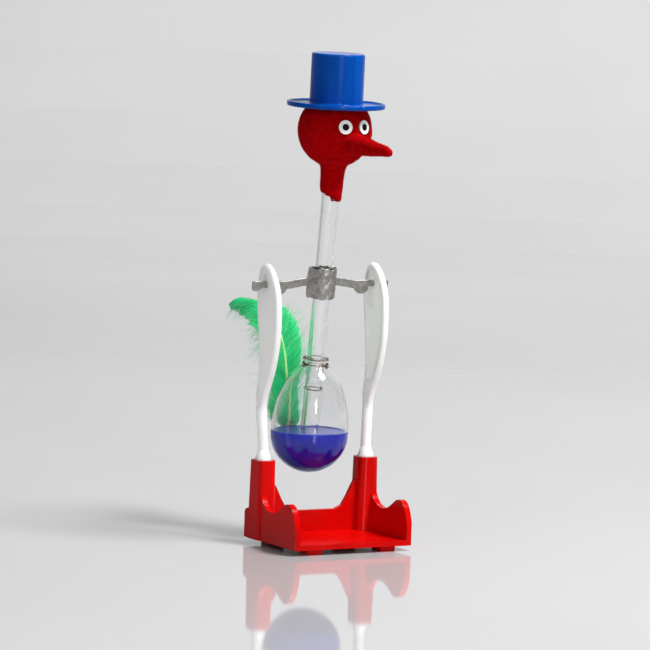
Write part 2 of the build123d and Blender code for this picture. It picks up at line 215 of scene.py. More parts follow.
def supported(profile, closed):
    """Extra points beside the corners, so smooth shading bends only at the corners."""
    ends = profile[1:] + profile[:1] if closed else profile[1:]
    out = []
    for (r0, z0), (r1, z1) in zip(profile, ends):
        out.append((r0, z0))
        length = math.hypot(r1 - r0, z1 - z0)
        if length < 1.5:
            continue
        inner = max(1, int(length / 5))
        shares = [0.12 / length]
        shares += [k / (inner + 1) for k in range(1, inner + 1)]
        shares.append(1 - 0.12 / length)
        out += [(r0 + (r1 - r0) * t, z0 + (z1 - z0) * t) for t in shares]
    if not closed:
        out.append(profile[-1])
    return out


def lathe(name, profile, matrix, segments=144, closed=False):
    """Turn (radius, z) points about the frame's z axis; a radius of 0 makes a pole."""
    verts = []
    rings = []
    for r, z in supported(profile, closed):
        if r < 1e-4:
            rings.append([len(verts)] * segments)
            verts.append(place(matrix, 0, 0, z))
            continue
        ring = []
        for k in range(segments):
            a = 2 * math.pi * k / segments
            ring.append(len(verts))
            verts.append(place(matrix, r * math.cos(a), r * math.sin(a), z))
        rings.append(ring)
    pairs = list(zip(rings[:-1], rings[1:]))
    if closed:
        pairs.append((rings[-1], rings[0]))
    faces = []
    for low, high in pairs:
        for k in range(segments):
            j = (k + 1) % segments
            corners = []
            for index in (low[k], low[j], high[j], high[k]):
                if index not in corners:
                    corners.append(index)
            if len(corners) > 2:
                faces.append(corners)
    return fix_normals(mesh_piece(name, verts, faces))


def finish_piece(obj, body, slot_name, material, *nodes):
    """Material, body and the CAD nodes that the piece stands for; slot_name is not used."""
    obj.data.materials.clear()
    obj.data.materials.append(material)
    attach(obj, body)
    if nodes:
        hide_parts(*nodes)
    return obj


# ---- material helpers -------------------------------------------------
class Surface:
    """A Principled material with small helpers for procedural detail."""

    def __init__(self, name):
        self.material = bpy.data.materials.new(name)
        self.material.use_nodes = True
        self.tree = self.material.node_tree
        self.bsdf = self.tree.nodes["Principled BSDF"]
        self.coords = self.tree.nodes.new("ShaderNodeTexCoord")
        self.normal = None

    def set(self, **values):
        """Values of the shader's own sockets, by name with _ for a space."""
        for name, value in values.items():
            self.bsdf.inputs[name.replace("_", " ")].default_value = value

    def noise(self, scale, detail=4.0, rough=0.6, stretch=(1, 1, 1)):
        """Object-space noise, finer with scale and drawn out along an axis by stretch."""
        mapping = self.tree.nodes.new("ShaderNodeMapping")
        mapping.inputs["Scale"].default_value = stretch
        self.tree.links.new(self.coords.outputs["Object"], mapping.inputs["Vector"])
        node = self.tree.nodes.new("ShaderNodeTexNoise")
        node.inputs["Scale"].default_value = scale
        node.inputs["Detail"].default_value = detail
        node.inputs["Roughness"].default_value = rough
        self.tree.links.new(mapping.outputs["Vector"], node.inputs["Vector"])
        return node.outputs["Fac"]

    def ramp(self, source, stops):
        node = self.tree.nodes.new("ShaderNodeValToRGB")
        elements = node.color_ramp.elements
        while len(elements) < len(stops):
            elements.new(0.5)
        for element, (position, colour) in zip(elements, stops):
            element.position = position
            element.color = (*colour, 1.0)
        self.tree.links.new(source, node.inputs["Fac"])
        return node.outputs["Color"]

    def colour(self, source, stops):
        self.tree.links.new(self.ramp(source, stops), self.bsdf.inputs["Base Color"])

    def roughness(self, source, low, high, start=0.3, end=0.7):
        node = self.tree.nodes.new("ShaderNodeMapRange")
        node.inputs["From Min"].default_value = start
        node.inputs["From Max"].default_value = end
        node.inputs["To Min"].default_value = low
        node.inputs["To Max"].default_value = high
        self.tree.links.new(source, node.inputs["Value"])
        self.tree.links.new(node.outputs["Result"], self.bsdf.inputs["Roughness"])

    def bump(self, source, strength, distance):
        """Add a layer of bump, distance in millimetres, over the layers before it."""
        node = self.tree.nodes.new("ShaderNodeBump")
        node.inputs["Strength"].default_value = strength
        node.inputs["Distance"].default_value = distance * MM
        self.tree.links.new(source, node.inputs["Height"])
        if self.normal is not None:
            self.tree.links.new(self.normal, node.inputs["Normal"])
        self.normal = node.outputs["Normal"]
        self.tree.links.new(self.normal, self.bsdf.inputs["Normal"])


def red_plastic():
    s = Surface("red_plastic")
    s.set(Specular_IOR_Level=0.09)
    flow = s.noise(55, 3.0, 0.5, (1.0, 0.45, 1.0))
    s.colour(flow, [(0.35, (0.46, 0.0012, 0.001)), (0.65, (0.58, 0.002, 0.0015))])
    s.roughness(s.noise(90, 3.0), 0.14, 0.26)
    s.bump(s.noise(110, 2.0), 0.10, 0.12)
    s.bump(s.noise(1500, 2.0), 0.02, 0.02)
    return s.material


def white_plastic():
    s = Surface("white_plastic")
    s.set(Subsurface_Weight=0.8, Subsurface_Scale=0.006, Coat_Weight=0.1, Coat_Roughness=0.3)
    s.set(Subsurface_Radius=(1.0, 0.95, 0.9))
    s.colour(s.noise(70, 5.0), [(0.3, (0.89, 0.88, 0.86)), (0.7, (0.94, 0.93, 0.915))])
    s.roughness(s.noise(300, 5.0), 0.28, 0.45)
    s.bump(s.noise(300, 3.0), 0.10, 0.10)
    return s.material


def blue_plastic():
    s = Surface("blue_plastic")
    s.set(Specular_IOR_Level=0.11)
    streak = s.noise(300, 3.0, 0.5, (1, 1, 0.08))
    s.colour(streak, [(0.3, (0.0, 0.046, 0.27)), (0.7, (0.0, 0.066, 0.36))])
    s.roughness(s.noise(300, 5.0), 0.13, 0.23)
    s.bump(streak, 0.08, 0.05)
    s.bump(s.noise(1800, 2.0), 0.03, 0.03)
    return s.material


def tinplate():
    s = Surface("tinplate")
    s.set(Metallic=1.0)
    mottle = s.noise(900, 6.0, 0.7)
    stops = [(0.25, (0.17, 0.165, 0.155)), (0.5, (0.36, 0.35, 0.33)), (0.8, (0.54, 0.53, 0.50))]
    s.colour(mottle, stops)
    s.roughness(s.noise(1500, 5.0), 0.34, 0.62)
    s.bump(s.noise(600, 5.0), 0.35, 0.15)
    s.bump(s.noise(5200, 2.0, 0.5, (0.12, 1, 1)), 0.15, 0.03)
    return s.material


def clear_glass():
    s = Surface("clear_glass")
    s.set(Transmission_Weight=1.0, IOR=1.47, Roughness=0.0)
    s.set(Base_Color=(0.985, 0.99, 0.985, 1.0))
    s.bump(s.noise(60, 2.0), 0.06, 0.5)
    return s.material


def seal_brown():
    s = Surface("seal_brown")
    s.set(Roughness=0.35, Transmission_Weight=0.35, IOR=1.45)
    s.colour(s.noise(900, 3.0), [(0.3, (0.12, 0.035, 0.015)), (0.7, (0.38, 0.12, 0.05))])
    return s.material


def blue_liquid():
    s = Surface("blue_liquid")
    s.set(Transmission_Weight=0.08, IOR=1.36, Roughness=0.05, Specular_IOR_Level=0.1)
    s.set(Subsurface_Weight=0.8, Subsurface_Scale=0.012, Subsurface_Radius=(0.25, 0.3, 1.0))
    s.colour(s.noise(60, 2.0), [(0.3, (0.014, 0.022, 0.50)), (0.7, (0.022, 0.036, 0.66))])
    return s.material


def red_felt():
    s = Surface("red_felt")
    s.set(Roughness=0.95, Sheen_Weight=0.06, Sheen_Roughness=0.5)
    s.set(Sheen_Tint=(1.0, 0.05, 0.08, 1.0))
    s.set(Specular_IOR_Level=0.02)
    s.colour(s.noise(500, 8.0, 0.75), [(0.25, (0.17, 0.0, 0.001)), (0.75, (0.52, 0.0005, 0.002))])
    s.bump(s.noise(3500, 4.0, 0.7), 0.6, 0.15)
    return s.material


def felt_fibre():
    s = Surface("felt_fibre")
    s.set(Roughness=0.95)
    s.set(Specular_IOR_Level=0.05)
    s.colour(s.noise(700, 6.0, 0.7), [(0.25, (0.30, 0.0, 0.001)), (0.75, (0.74, 0.003, 0.006))])
    return s.material


def eye_white():
    s = Surface("eye_white")
    s.set(Specular_IOR_Level=0.3)
    s.colour(s.noise(300, 3.0), [(0.3, (0.90, 0.89, 0.88)), (0.7, (0.95, 0.95, 0.94))])
    s.roughness(s.noise(900, 3.0), 0.22, 0.35)
    return s.material


def pupil_black():
    s = Surface("pupil_black")
    s.set(Specular_IOR_Level=0.04)
    s.colour(s.noise(500, 3.0), [(0.3, (0.003, 0.003, 0.004)), (0.7, (0.010, 0.010, 0.011))])
    s.roughness(s.noise(900, 3.0), 0.45, 0.6)
    return s.material


def glue():
    s = Surface("clear_glue")
    s.set(Transmission_Weight=0.7, IOR=1.46)
    s.colour(s.noise(400, 3.0), [(0.3, (0.78, 0.76, 0.66)), (0.7, (0.88, 0.87, 0.80))])
    s.roughness(s.noise(600, 3.0), 0.15, 0.4)
    s.bump(s.noise(500, 3.0), 0.4, 0.2)
    return s.material


def green_feather():
    s = Surface("green_feather")
    s.set(Roughness=0.7, Subsurface_Weight=0.2, Subsurface_Scale=0.0004)
    s.set(Subsurface_Radius=(0.4, 1.0, 0.5))
    s.set(Specular_IOR_Level=0.15)
    tint = s.tree.nodes.new("ShaderNodeAttribute")
    tint.attribute_name = "tint"
    stops = [(0.0, (0.0, 0.32, 0.08)), (0.5, (0.012, 0.64, 0.20)), (1.0, (0.20, 0.90, 0.42))]
    s.colour(tint.outputs["Fac"], stops)
    return s.material


def quill_green():
    s = Surface("feather_quill")
    s.set(Subsurface_Weight=0.1)
    s.colour(s.noise(200, 3.0), [(0.3, (0.20, 0.52, 0.14)), (0.7, (0.45, 0.72, 0.25))])
    s.roughness(s.noise(900, 3.0), 0.35, 0.5)
    return s.material


def floor_surface():
    """Pale glossy board near the object that turns into matt paper as the sweep rises."""
    s = Surface("floor")
    s.set(IOR=1.5)
    s.colour(s.noise(3, 2.0), [(0.3, (0.435, 0.435, 0.44)), (0.7, (0.465, 0.465, 0.47))])
    away = s.tree.nodes.new("ShaderNodeVectorMath")
    away.operation = "LENGTH"
    s.tree.links.new(s.coords.outputs["Object"], away.inputs[0])
    s.roughness(away.outputs["Value"], 0.045, 0.75, 0.35, 1.2)
    s.bump(s.noise(40, 4.0), 0.02, 0.02)
    return s.material


# ---- CAD nodes that keep their shape ----------------------------------
def soften(obj, width, angle=32):
    """Rounded moulding edges on a CAD node, by modifiers only."""
    weld = obj.modifiers.new("weld", "WELD")
    weld.merge_threshold = 0.00001
    bevel = obj.modifiers.new("bevel", "BEVEL")
    bevel.width = width * MM
    bevel.segments = 3
    bevel.limit_method = "ANGLE"
    bevel.angle_limit = math.radians(angle)
    bevel.harden_normals = True


def dress(node, material):
    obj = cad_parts[node]
    obj.data.materials.clear()
    obj.data.materials.append(material)
    return obj


def dress_stand():
    red = red_plastic()
    white = white_plastic()
    soften(dress("base_tray", red), 0.34)
    soften(dress("left_leg", white), 0.15)
    soften(dress("right_leg", white), 0.15)


def make_glue_dab(clear):
    """A blob of set glue that has run a little round the quill's foot."""
    low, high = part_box("feather_glue")
    middle = [(a + b) / 2 for a, b in zip(low, high)]
    half = [(b - a) / 2 for a, b in zip(low, high)]
    bm = bmesh.new()
    bmesh.ops.create_icosphere(bm, subdivisions=4, radius=1.0)
    for vertex in bm.verts:
        lump = 1 + 0.16 * noise.noise(vertex.co * 1.7) + 0.05 * noise.noise(vertex.co * 5)
        vertex.co = Vector([m + c * h * lump for m, c, h in zip(middle, vertex.co, half)])
    for face in bm.faces:
        face.smooth = True
    mesh = bpy.data.meshes.new("glue_dab")
    bm.to_mesh(mesh)
    bm.free()
    obj = bpy.data.objects.new("glue_dab", mesh)
    bpy.context.scene.collection.objects.link(obj)
    return finish_piece(obj, "bird", "clear_glue", clear, "feather_glue")


def dress_head_trim(clear):
    white = eye_white()
    black = pupil_black()
    for side in ("left", "right"):
        soften(dress(f"eye_white_{side}", white), 0.12)
        soften(dress(f"pupil_{side}", black), 0.06)
    dress("hat_glue", clear)


# ---- glass ------------------------------------------------------------
def shoulder_profile(inset):
    """The bulb's side from the seal to the bottom, as (radius, z) about the bulb's centre."""
    points = [
        (4.7, 25.3),
        (7.3, 22.9),
        (9.3, 20.1),
        (12.0, 13.9),
        (13.1, 10.1),
        (13.85, 4.9),
        (BULB_R, 0.0),
    ]
    scaled = []
    for r, z in points:
        length = math.hypot(r, z)
        factor = (length - inset) / length
        scaled.append((r * factor, z * factor, 0))
    side = [(p.x, p.y) for p in catmull(scaled, 8)]
    radius = BULB_R - inset
    for k in range(1, 33):
        a = math.pi / 2 * k / 32
        side.append((radius * math.cos(a), -radius * math.sin(a)))
    side[-1] = (0.0, -radius)
    return side


def make_bulb(glass):
    """Lower bulb with a wall, and the rolled seal ring round the stem."""
    outer = shoulder_profile(0.0)
    inner = shoulder_profile(GLASS_WALL)
    bore = TUBE_R + 0.03
    up = BULB_DROP
    ring = [
        (bore, NECK_BOTTOM + up - 0.6),
        (bore, NECK_TOP + up),
        (NECK_R - 0.5, NECK_TOP + up + 0.05),
        (NECK_R, NECK_TOP + up - 0.5),
        (NECK_R + 0.05, NECK_TOP + up - 0.9),
        (NECK_R - 0.35, NECK_TOP + up - 1.4),
        (NECK_R - 0.3, NECK_TOP + up - 1.7),
        (NECK_R + 0.1, NECK_TOP + up - 2.2),
    ]
    inner_side = [p for p in inner if p[0] > bore or p[1] < 0]
    profile = ring + outer + list(reversed(inner_side))
    obj = lathe("body_bulb_glass", profile, BULB, 160, closed=True)
    return finish_piece(obj, "bird", "clear_glass", glass, "body_bulb")


def make_stem(glass):
    """Stem and dip tube in one, with a bead inside the bulb and fire-rounded ends."""
    r = TUBE_R
    bead = DIP_BEAD
    outer = [
        (r, STEM_TOP),
        (r, NECK_BOTTOM - 2.0),
        (r - 0.15, NECK_BOTTOM - 3.0),
        (r - 0.15, bead + 0.9),
        (r + 0.05, bead + 0.35),
        (r + 0.2, bead),
        (r + 0.16, bead - 0.5),
        (r + 0.12, bead - 1.2),
        (r + 0.12, DIP_END + 0.2),
        (r - 0.05, DIP_END),
    ]
    inner = [
        (r - TUBE_WALL + 0.1, DIP_END),
        (r - TUBE_WALL, DIP_END + 0.2),
        (r - TUBE_WALL, STEM_TOP),
    ]
    obj = lathe("stem_tube_glass", outer + inner, TUBE, 96, closed=True)
    return finish_piece(obj, "bird", "clear_glass", glass, "stem_tube")


def make_head_glass(glass):
    """The glass head is all under the felt, so the CAD node keeps its place."""
    dress("head_bulb", glass)


def make_seal_lines(brown):
    """Thin brown lines where the glass was fused."""
    rows = [
        ("seal_line_upper", NECK_TOP - 0.35, NECK_R - 0.1, 0.13),
        ("seal_line_lower", NECK_BOTTOM + 0.55, NECK_R + 0.02, 0.16),
        ("dip_ring_line", DIP_BEAD, TUBE_R + 0.14, 0.17),
    ]
    for name, z, radius, thick in rows:
        profile = []
        for k in range(10):
            a = 2 * math.pi * k / 10
            profile.append((radius + thick * math.cos(a), z + thick * math.sin(a)))
        obj = lathe(name, profile, TUBE, 96, closed=True)
        finish_piece(obj, "bird", "clear_glass", brown)


def make_liquid(material):
    """Liquid with a level surface that climbs a little at the glass."""
    profile = [p for p in shoulder_profile(GLASS_WALL - 0.12) if p[1] < 8]
    profile.insert(0, (0.0, profile[0][1]))
    obj = lathe("liquid_fill", profile, BULB, 128)
    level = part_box("liquid_pool")[1][2]
    bm = bmesh.new()
    bm.from_mesh(obj.data)
    geometry = bm.verts[:] + bm.edges[:] + bm.faces[:]
    plane = (0, 0, level + LIQUID_RISE * MM)
    bmesh.ops.bisect_plane(bm, geom=geometry, plane_co=plane, plane_no=(0, 0, 1), clear_outer=True)
    rim = [v for v in bm.verts if v.is_boundary]
    middle = sum((v.co for v in rim), Vector()) / len(rim)
    rim.sort(key=lambda v: math.atan2(v.co.y - middle.y, v.co.x - middle.x))
    outer = rim
    for share, rise in ((0.985, 0.16), (0.965, 0.05), (0.93, 0.0), (0.6, 0.0), (0.3, 0.0)):
        inner = []
        for vertex in rim:
            spot = middle + (vertex.co - middle) * share
            inner.append(bm.verts.new((spot.x, spot.y, level + rise * MM)))
        for k in range(len(rim)):
            j = (k + 1) % len(rim)
            bm.faces.new((outer[k], outer[j], inner[j], inner[k])).smooth = True
        outer = inner
    bm.faces.new(outer).smooth = True
    bm.to_mesh(obj.data)
    bm.free()
    fix_normals(obj)
    return finish_piece(obj, "bird", "blue_liquid", material, "liquid_pool", "liquid_column")


# ---- hat --------------------------------------------------------------
def make_hat(material):
    z = HAT_BRIM_Z - AXIS_Z - HEAD_UP
    top = z + HAT_H
    brim = HAT_BRIM_R
    crown = HAT_CROWN_R
    profile = [
        (crown - 1.0, z),
        (brim - 0.6, z),
        (brim - 0.25, z + 0.1),
        (brim - 0.05, z + 0.3),
        (brim, z + 0.6),
        (brim, z + 1.35),
        (brim - 0.08, z + 1.62),
        (brim - 0.3, z + 1.78),
        (brim - 0.6, z + 1.74),
        (brim - 0.85, z + 1.55),
        (brim - 1.1, z + 1.3),
        (brim - 1.4, z + BRIM_T),
        (crown + 0.6, z + BRIM_T),
        (crown + 0.25, z + BRIM_T + 0.08),
        (crown + 0.05, z + BRIM_T + 0.3),
        (crown, z + BRIM_T + 0.7),
        (crown - 0.05, top - 0.75),
        (crown - 0.12, top - 0.4),
        (crown - 0.35, top - 0.12),
        (crown - 0.7, top),
        (crown - 1.6, top - 0.02),
        (0.0, top - 0.05),
    ]
    inside = [
        (0.0, top - 1.0),
        (crown - 1.0, top - 1.0),
    ]
    obj = lathe("top_hat", profile + inside, HEAD, 160, closed=True)
    cut_gate(obj, z)
    return finish_piece(obj, "bird", "blue_plastic", material, "hat")


def cut_gate(obj, z):
    """The small moulding gate mark at the front of the brim's lip."""
    inverse = HEAD.inverted()
    for vertex in obj.data.vertices:
        local = (inverse @ vertex.co) / MM
        front = abs(local.x) < GATE_HALF_W and local.y < 0
        if front and math.hypot(local.x, local.y) > HAT_BRIM_R - 1.0 and local.z > z + 1.0:
            local.z -= GATE_DEPTH * (1 - (abs(local.x) / GATE_HALF_W) ** 2)
            vertex.co = place(HEAD, *local)


# ---- felt head --------------------------------------------------------
def ellipse_tube(sections, count=40):
    """A closed loft of (y, z, half width, half height) ellipses along -Y."""
    verts = []
    faces = []
    for y, z, half_w, half_h in sections:
        for k in range(count):
            a = 2 * math.pi * k / count
            verts.append(place(HEAD, half_w * math.cos(a), y, z + half_h * math.sin(a)))
    for i in range(len(sections) - 1):
        for k in range(count):
            j = (k + 1) % count
            faces.append((i * count + k, i * count + j, (i + 1) * count + j, (i + 1) * count + k))
    faces.append(list(range(count)))
    last = (len(sections) - 1) * count
    faces.append([last + k for k in reversed(range(count))])
    return verts, faces


def felt_blocks():
    """Ball, beak and neck as overlapping closed forms, ready to be fused."""
    ball = []
    for k in range(49):
        a = -math.pi / 2 + math.pi * k / 48
        ball.append((HEAD_R * math.cos(a), HEAD_R * math.sin(a)))
    ball[0] = (0.0, -HEAD_R)
    ball[-1] = (0.0, HEAD_R)
    parts = [lathe("ball", ball, HEAD, 96)]
    beak = [
        (-4.0, -4.4, 5.6, 5.0),
        (-8.0, -4.3, 5.5, 4.8),
        (-12.5, -4.1, 4.9, 4.2),
        (-18.0, -4.0, 3.9, 3.5),
        (-25.0, -4.3, 2.9, 2.75),
        (-32.0, -4.5, 2.0, 2.0),
        (-34.6, -4.7, 1.6, 1.6),
        (-35.8, -4.85, 1.2, 1.2),
        (-BEAK_REACH, -4.9, 0.6, 0.6),
    ]
    smooth = [tuple(p) for p in catmull4(beak, 4)]
    verts, faces = ellipse_tube(smooth)
    parts.append(fix_normals(mesh_piece("beak", verts, faces)))
    neck = [
        (0.0, FELT_NECK_END),
        (3.7, FELT_NECK_END),
        (3.95, FELT_NECK_END + 0.3),
        (4.15, 36.0),
        (4.3, 40.5),
        (4.65, 42.3),
        (5.5, 44.1),
        (6.9, 45.8),
        (8.3, 47.2),
        (0.0, 49.5),
    ]
    parts.append(lathe("neck", neck, TUBE, 72))
    return parts


def catmull4(rows, per):
    """Smooth rows of four numbers, two at a time."""
    first = catmull([(r[0], r[1], 0) for r in rows], per)
    second = catmull([(r[2], r[3], 0) for r in rows], per)
    return [(a.x, a.y, b.x, b.y) for a, b in zip(first, second)]


def fuse(parts, name, voxel):
    """Join closed forms and remesh them into one skin."""
    bpy.ops.object.select_all(action="DESELECT")
    for part in parts:
        part.select_set(True)
    bpy.context.view_layer.objects.active = parts[0]
    bpy.ops.object.join()
    obj = parts[0]
    obj.name = name
    obj.data.name = name
    remesh = obj.modifiers.new("remesh", "REMESH")
    remesh.mode = "VOXEL"
    remesh.voxel_size = voxel * MM
    bpy.ops.object.modifier_apply(modifier="remesh")
    return obj


def smooth_mesh(obj, rounds):
    bm = bmesh.new()
    bm.from_mesh(obj.data)
    for _ in range(rounds):
        bmesh.ops.smooth_vert(
            bm, verts=bm.verts, factor=0.5, use_axis_x=True, use_axis_y=True, use_axis_z=True
        )
    bm.to_mesh(obj.data)
    bm.free()


def shape_felt(obj):
    """Crease under the beak, shoulder under the brim, ragged neck edge, uneven flock."""
    to_head = HEAD.inverted()
    to_tube = TUBE.inverted()
    brim = HAT_BRIM_Z - AXIS_Z - HEAD_UP
    obj.data.update()
    normals = [v.normal.copy() for v in obj.data.vertices]
    for vertex, normal in zip(obj.data.vertices, normals):
        soft = noise.noise(vertex.co * 260) * 0.16 + noise.noise(vertex.co * 900) * 0.07
        p = vertex.co + normal * soft * MM
        head = (to_head @ p) / MM
        if head.z < -6 and head.y < -8:
            spread = (head.z + 9.3 + 0.10 * (head.y + 12)) / 1.1
            crease = 1.25 * math.exp(-spread * spread) * max(0.0, 1 - abs(head.y + 11) / 5)
            p -= normal * crease * MM
        radius = math.hypot(head.x, head.y)
        if head.z > brim - 0.05 and radius > 8.5:
            head.x *= 8.5 / radius
            head.y *= 8.5 / radius
            p = place(HEAD, *head)
        tube = (to_tube @ p) / MM
        reach = math.hypot(tube.x, tube.y)
        if tube.z < 37.0 and reach < 6:
            angle = math.atan2(tube.y, tube.x)
            lift = 1.5 + 1.5 * math.cos(angle - math.radians(150))
            lift += 0.5 * noise.noise(Vector((math.cos(angle) * 3.1, math.sin(angle) * 3.1, 4.0)))
            lift += 0.45 * noise.noise(Vector((math.cos(angle) * 9.0, math.sin(angle) * 9.0, 1.0)))
            share = (37.0 - tube.z) / (37.0 - FELT_NECK_END)
            tube.z += lift * share
            p = place(TUBE, *tube)
        vertex.co = p
    obj.data.update()


def make_felt(skin, fibre_material):
    obj = fuse(felt_blocks(), "felt_cover", FELT_VOXEL)
    smooth_mesh(obj, FELT_SMOOTHING)
    shape_felt(obj)
    for polygon in obj.data.polygons:
        polygon.use_smooth = True
    finish_piece(obj, "bird", "red_felt", skin, "felt_head")
    fibres = flock(obj, FLOCK_FIBRES)
    finish_piece(fibres, "bird", "red_felt", fibre_material)


def flock(obj, count):
    """Short fibres standing out of the felt, each one thin triangle."""
    rng = random.Random(SEED)
    mesh = obj.data
    mesh.calc_loop_triangles()
    triangles = list(mesh.loop_triangles)
    weights = [t.area for t in triangles]
    brim = HAT_BRIM_Z - AXIS_Z - HEAD_UP
    to_head = HEAD.inverted()
    verts = []
    faces = []
    for t in rng.choices(triangles, weights=weights, k=count):
        a, b, c = (mesh.vertices[i].co for i in t.vertices)
        u, v = rng.random(), rng.random()
        if u + v > 1:
            u, v = 1 - u, 1 - v
        root = a + (b - a) * u + (c - a) * v
        if ((to_head @ root) / MM).z > brim - 0.4:
            continue
        lean = Vector((rng.gauss(0, 1), rng.gauss(0, 1), rng.gauss(0, 1)))
        direction = (t.normal + lean * 0.45).normalized()
        side = direction.cross(Vector((rng.gauss(0, 1), rng.gauss(0, 1), rng.gauss(0, 1))))
        side = side.normalized() * FIBRE_HALF_W * MM
        tip = root + direction * rng.uniform(*FIBRE_LENGTH) * MM
        index = len(verts)
        verts += [root - side, root + side, tip]
        faces.append((index, index + 1, index + 2))
    return mesh_piece("felt_flock", verts, faces, smooth=False)


def make_eye_rims(material):
    """Dark line of glue and shadow round each disc."""
    for side, name in ((1, "eye_rim_left"), (-1, "eye_rim_right")):
        matrix = HEAD @ turn(side * EYE_ANGLE, "Z") @ turn(-EYE_RISE, "X")
        matrix = matrix @ shift(0, -(HEAD_R + 0.12), 0) @ turn(90, "X")
        profile = []
        for k in range(8):
            a = 2 * math.pi * k / 8
            profile.append((EYE_RIM_R + 0.10 * math.cos(a), 0.12 * math.sin(a)))
        obj = lathe(name, profile, matrix, 72, closed=True)
        finish_piece(obj, "bird", "pupil_black", material)


# ---- feather ----------------------------------------------------------
def rachis():
    """The quill's centre line as points and tangents in metres."""
    rises = [
        (19.9, -58.0),
        (20.7, -52.0),
        (21.8, -43.0),
        (22.9, -35.0),
        (25.3, -27.0),
        (29.6, -20.0),
        (36.5, -13.8),
        (45.0, -11.3),
        (54.0, -11.0),
        (58.6, -11.0),
    ]
    points = []
    for y, dz in rises:
        points.append((0.0, (y + SHIFT_Y) * MM, (AXIS_Z + dz) * MM))
    line = catmull(points, 24)
    tangents = []
    for i in range(len(line)):
        step = line[min(i + 1, len(line) - 1)] - line[max(i - 1, 0)]
        tangents.append(step.normalized())
    return line, tangents


def make_quill(material):
    line, tangents = rachis()
    verts = []
    faces = []
    count = 12
    for i, (point, along) in enumerate(zip(line, tangents)):
        s = i / (len(line) - 1)
        radius = (0.62 - 0.45 * s) * MM
        across = Vector((1, 0, 0))
        up = along.cross(across).normalized()
        for k in range(count):
            a = 2 * math.pi * k / count
            verts.append(point + across * radius * math.cos(a) + up * radius * math.sin(a))
    for i in range(len(line) - 1):
        for k in range(count):
            j = (k + 1) % count
            faces.append((i * count + k, i * count + j, (i + 1) * count + j, (i + 1) * count + k))
    faces.append(list(reversed(range(count))))
    last = (len(line) - 1) * count
    faces.append([last + k for k in range(count)])
    obj = fix_normals(mesh_piece("quill", verts, faces))
    finish_piece(obj, "bird", "feather_quill", material, "feather_quill")


def barb(out, root, axes, length, width, angles, droop, wander, tint):
    """One barb: a tapering ribbon that sweeps towards the tip and droops."""
    verts, faces, tints = out
    side, along, down = axes
    steps = BARB_STEPS
    point = root.copy()
    start = len(verts)
    for k in range(steps + 1):
        t = k / steps
        a = math.radians(angles[0] + (angles[1] - angles[0]) * t)
        step = side * math.sin(a) + along * math.cos(a) + down * droop * t + wander * t
        step.normalize()
        across = along - step * along.dot(step)
        half = across.normalized() * width * (1 - 0.75 * t) * 0.5
        verts.append(point - half)
        verts.append(point + half)
        shade = tint * (0.72 + 0.28 * t)
        tints += [shade, shade]
        point = point + step * (length / steps)
    for k in range(steps):
        a = start + 2 * k
        faces.append((a, a + 1, a + 3, a + 2))


def half_width(s, sign):
    """Half the vane's width in millimetres at share s of the quill, per side."""
    rows = [
        (0.0, 6.5, 4.5),
        (0.12, 8.6, 5.6),
        (0.3, 9.2, 7.0),
        (0.5, 9.2, 8.0),
        (0.7, 8.2, 8.6),
        (0.85, 7.0, 8.4),
        (0.94, 5.2, 7.0),
        (1.0, 2.8, 3.8),
    ]
    column = 1 if sign < 0 else 2
    for low, high in zip(rows, rows[1:]):
        if s <= high[0]:
            t = (s - low[0]) / (high[0] - low[0])
            return low[column] + (high[column] - low[column]) * t * t * (3 - 2 * t)
    return rows[-1][column]


def clump(s, sign, scale):
    """Smooth variation along the quill, so neighbouring barbs stay together."""
    return noise.noise(Vector((s * scale, sign * 5.0, 0.0)))


